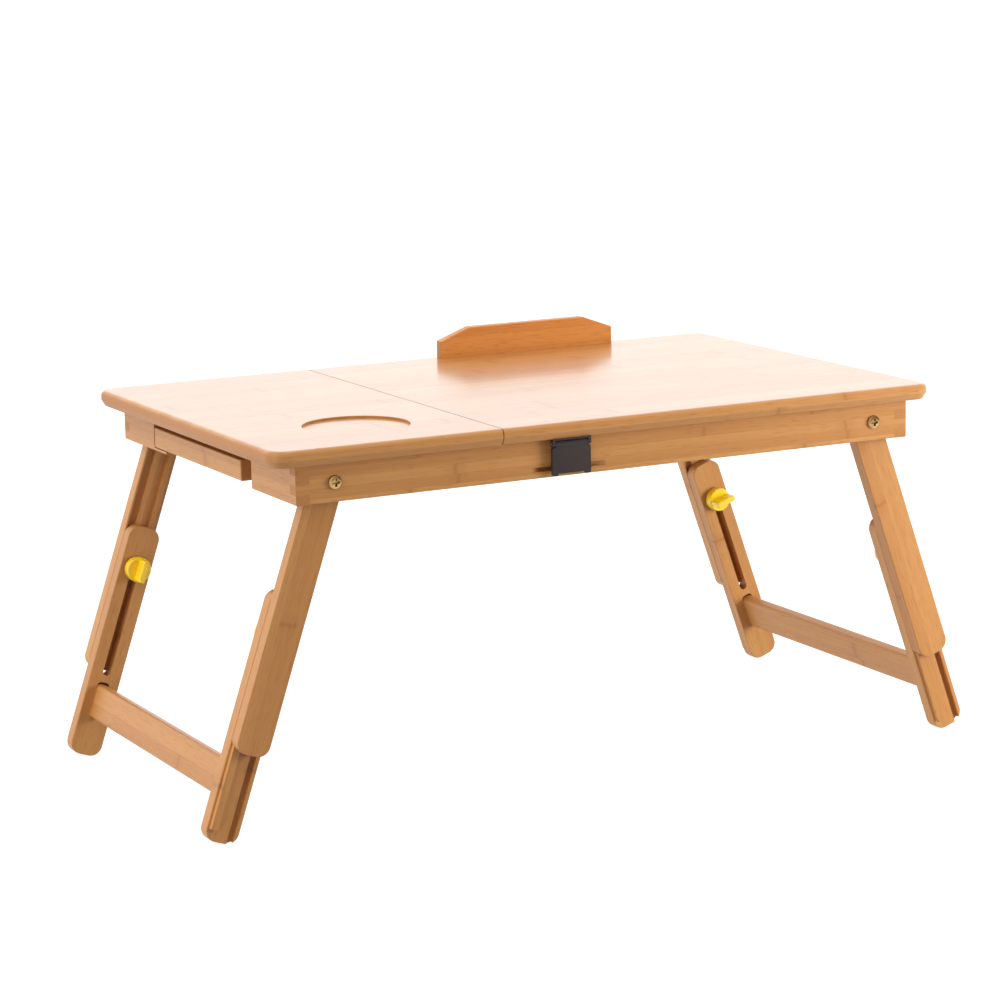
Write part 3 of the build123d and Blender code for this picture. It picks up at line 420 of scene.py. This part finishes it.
def bolt_profile(length):
    """Low domed head with a rounded brim, then a plain shank."""
    brim = BOLT_HEAD_DEPTH
    return [
        (0.78 * BOLT_HEAD, 0.10 * brim),
        (0.92 * BOLT_HEAD, 0.30 * brim),
        (0.985 * BOLT_HEAD, 0.55 * brim),
        (BOLT_HEAD, 0.8 * brim),
        (BOLT_HEAD, brim),
        (BOLT_SHANK, brim),
        (BOLT_SHANK, length),
    ]


def upright_screws(node, name, body, heads_up):
    """Screws of a node that stand upright, with their heads at their upper or lower ends."""
    bm = bmesh.new()
    for low, high in solids_of(node):
        middle = (low + high) / 2
        head = Vector((middle.x, middle.y, high.z if heads_up else low.z))
        turn = Matrix.Rotation(math.pi, 4, "X") if heads_up else Matrix.Identity(4)
        spin = Matrix.Rotation(middle.x * 90 + middle.y * 60, 4, "Z")
        place = Matrix.Translation(head) @ turn @ spin
        cross_head(bm, screw_profile(high.z - low.z), SCREW_FLAT, SCREW_CROSS, SCREW_RECESS, place)
    piece = new_piece(bm, name, zinc, body)
    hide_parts(node)


def leg_bolts():
    """The four leg bolts, heads outward on the aprons."""
    bm = bmesh.new()
    for low, high in solids_of("leg_bolts"):
        middle = (low + high) / 2
        outer = low.y if middle.y < 0 else high.y
        turn = Matrix.Rotation(-math.pi / 2 if middle.y < 0 else math.pi / 2, 4, "X")
        place = Matrix.Translation((middle.x, outer, middle.z)) @ turn
        place = place @ Matrix.Rotation(0.5 + middle.x * 7 + middle.y * 3, 4, "Z")
        cross_head(bm, bolt_profile(high.y - low.y), BOLT_FLAT, BOLT_CROSS, BOLT_RECESS, place)
    piece = new_piece(bm, "cross_head_leg_bolts", brass, "frame")
    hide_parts("leg_bolts")


leg_bolts()
for node, body, heads_up in (
    ("frame_hinge_screws", "frame", True),
    ("panel_hinge_screws", "tilt_panel", False),
    ("runner_screws", "frame", False),
    ("divider_screws", "frame", False),
    ("stop_bar_screws", "tilt_panel", False),
    ("latch_screws", "tilt_panel", False),
    ("prop_bracket_screws", "tilt_panel", False),
):
    upright_screws(node, "cross_head_" + node, body, heads_up)


# Studio: pale floor, soft light, camera
BACKDROP_LIGHT, FRONT_LIGHT, LEFT_LIGHT, CEILING_LIGHT = 1.5, 0.06, 1.22, 1.3
PLAIN_LIGHT, COOL_LIGHT = (1, 1, 1), (0.94, 1.0, 1.15)
FLOOR_REACH = 60
CAMERA_PLACE = (-1.151131, -2.245663, 0.67737)
CAMERA_TURN, CAMERA_DIP, CAMERA_ROLL = math.radians(-26.929), math.radians(10.85), math.radians(-1.229)
CAMERA_LENS, CAMERA_FILM, CAMERA_REACH = 118.6, 36, 100


def soft_light(name, place, target, size, power, colour):
    """A square softbox that faces its target and leaves no mirror image of itself on the lacquer."""
    lamp = bpy.data.lights.new(name, "AREA")
    lamp.size = size
    lamp.energy = power
    lamp.color = colour
    light = bpy.data.objects.new(name, lamp)
    light.location = place
    light.rotation_euler = (Vector(target) - Vector(place)).to_track_quat("-Z", "Y").to_euler()
    light.visible_glossy = False
    scene.collection.objects.link(light)


def pale_floor():
    """A plain pale floor that is part of the studio, not of the table."""
    bm = bmesh.new()
    bmesh.ops.create_grid(bm, x_segments=1, y_segments=1, size=FLOOR_REACH)
    mesh = bpy.data.meshes.new("pale_floor")
    bm.to_mesh(mesh)
    bm.free()
    floor = bpy.data.objects.new("pale_floor", mesh)
    scene.collection.objects.link(floor)
    floor.visible_diffuse = False
    material, shader, start = new_material("pale_floor", {"Roughness": 0.9, "Emission Strength": 0.8})
    place = start.make("TexCoord", output="Object")
    cloud = place.noise((1.5, 1.5, 1.5), 2.0)
    colour = cloud.blend(FLOOR_GREY, FLOOR_PALE)
    shader.inputs["Emission Color"].default_value = WHITE
    connect(shader, {"Base Color": colour})
    mesh.materials.append(material)


def white_room():
    """Soft light from a backdrop behind the table, a left wall and a ceiling, and a little from in front.

    The ramps run over the parts of each direction: to the right, away from the camera and up.
    """
    world = bpy.data.worlds.new("white_room")
    scene.world = world
    world.use_nodes = True
    tree = world.node_tree
    sky = tree.nodes["Background"]
    direction = Wire(tree).make("TexCoord", output="Generated")
    sideways, ahead, upward = direction.part(0), direction.part(1), direction.part(2)
    near_horizon = upward.ramp(-0.25, 0.02) * upward.ramp(0.45, 0.85, 1.0, 0.0)
    backdrop = ahead.ramp(-0.1, 0.7) * near_horizon * BACKDROP_LIGHT
    front = (0 - ahead).ramp(0.2, 0.9) * near_horizon * FRONT_LIGHT
    ceiling = upward.ramp(0.4, 0.95) * CEILING_LIGHT
    left_wall = (0 - sideways).ramp(0.0, 0.9) * LEFT_LIGHT
    glow = backdrop.maths("MAXIMUM", left_wall) + front + ceiling
    sky.inputs["Color"].default_value = WHITE
    tree.links.new(glow.socket, sky.inputs["Strength"])


def photo_camera():
    """The camera at the photograph's place, turned a little about its own line of sight."""
    level = Vector((math.cos(CAMERA_TURN), math.sin(CAMERA_TURN), 0))
    forward = Vector((-math.sin(CAMERA_TURN), math.cos(CAMERA_TURN), 0))
    ahead = math.cos(CAMERA_DIP) * forward - math.sin(CAMERA_DIP) * Vector((0, 0, 1))
    upright = level.cross(ahead)
    right = math.cos(CAMERA_ROLL) * level + math.sin(CAMERA_ROLL) * upright
    up = math.cos(CAMERA_ROLL) * upright - math.sin(CAMERA_ROLL) * level
    lens = bpy.data.cameras.new("photo_camera")
    lens.sensor_width = CAMERA_FILM
    lens.lens = CAMERA_LENS
    lens.clip_end = CAMERA_REACH
    camera = bpy.data.objects.new("photo_camera", lens)
    turned = Matrix((right, up, -ahead)).transposed().to_4x4()
    camera.matrix_world = Matrix.Translation(CAMERA_PLACE) @ turned
    scene.collection.objects.link(camera)
    scene.camera = camera


pale_floor()
white_room()
soft_light("left_softbox", (-1.9, -0.3, 0.7), (-0.25, 0, 0.2), 1.2, 1.2, PLAIN_LIGHT)
soft_light("right_softbox", (0.95, -0.8, 0.33), (0.27, 0, 0.2), 0.6, 14.5, COOL_LIGHT)
photo_camera()
scene.view_settings.view_transform = "Standard"
scene.view_settings.look = "None"
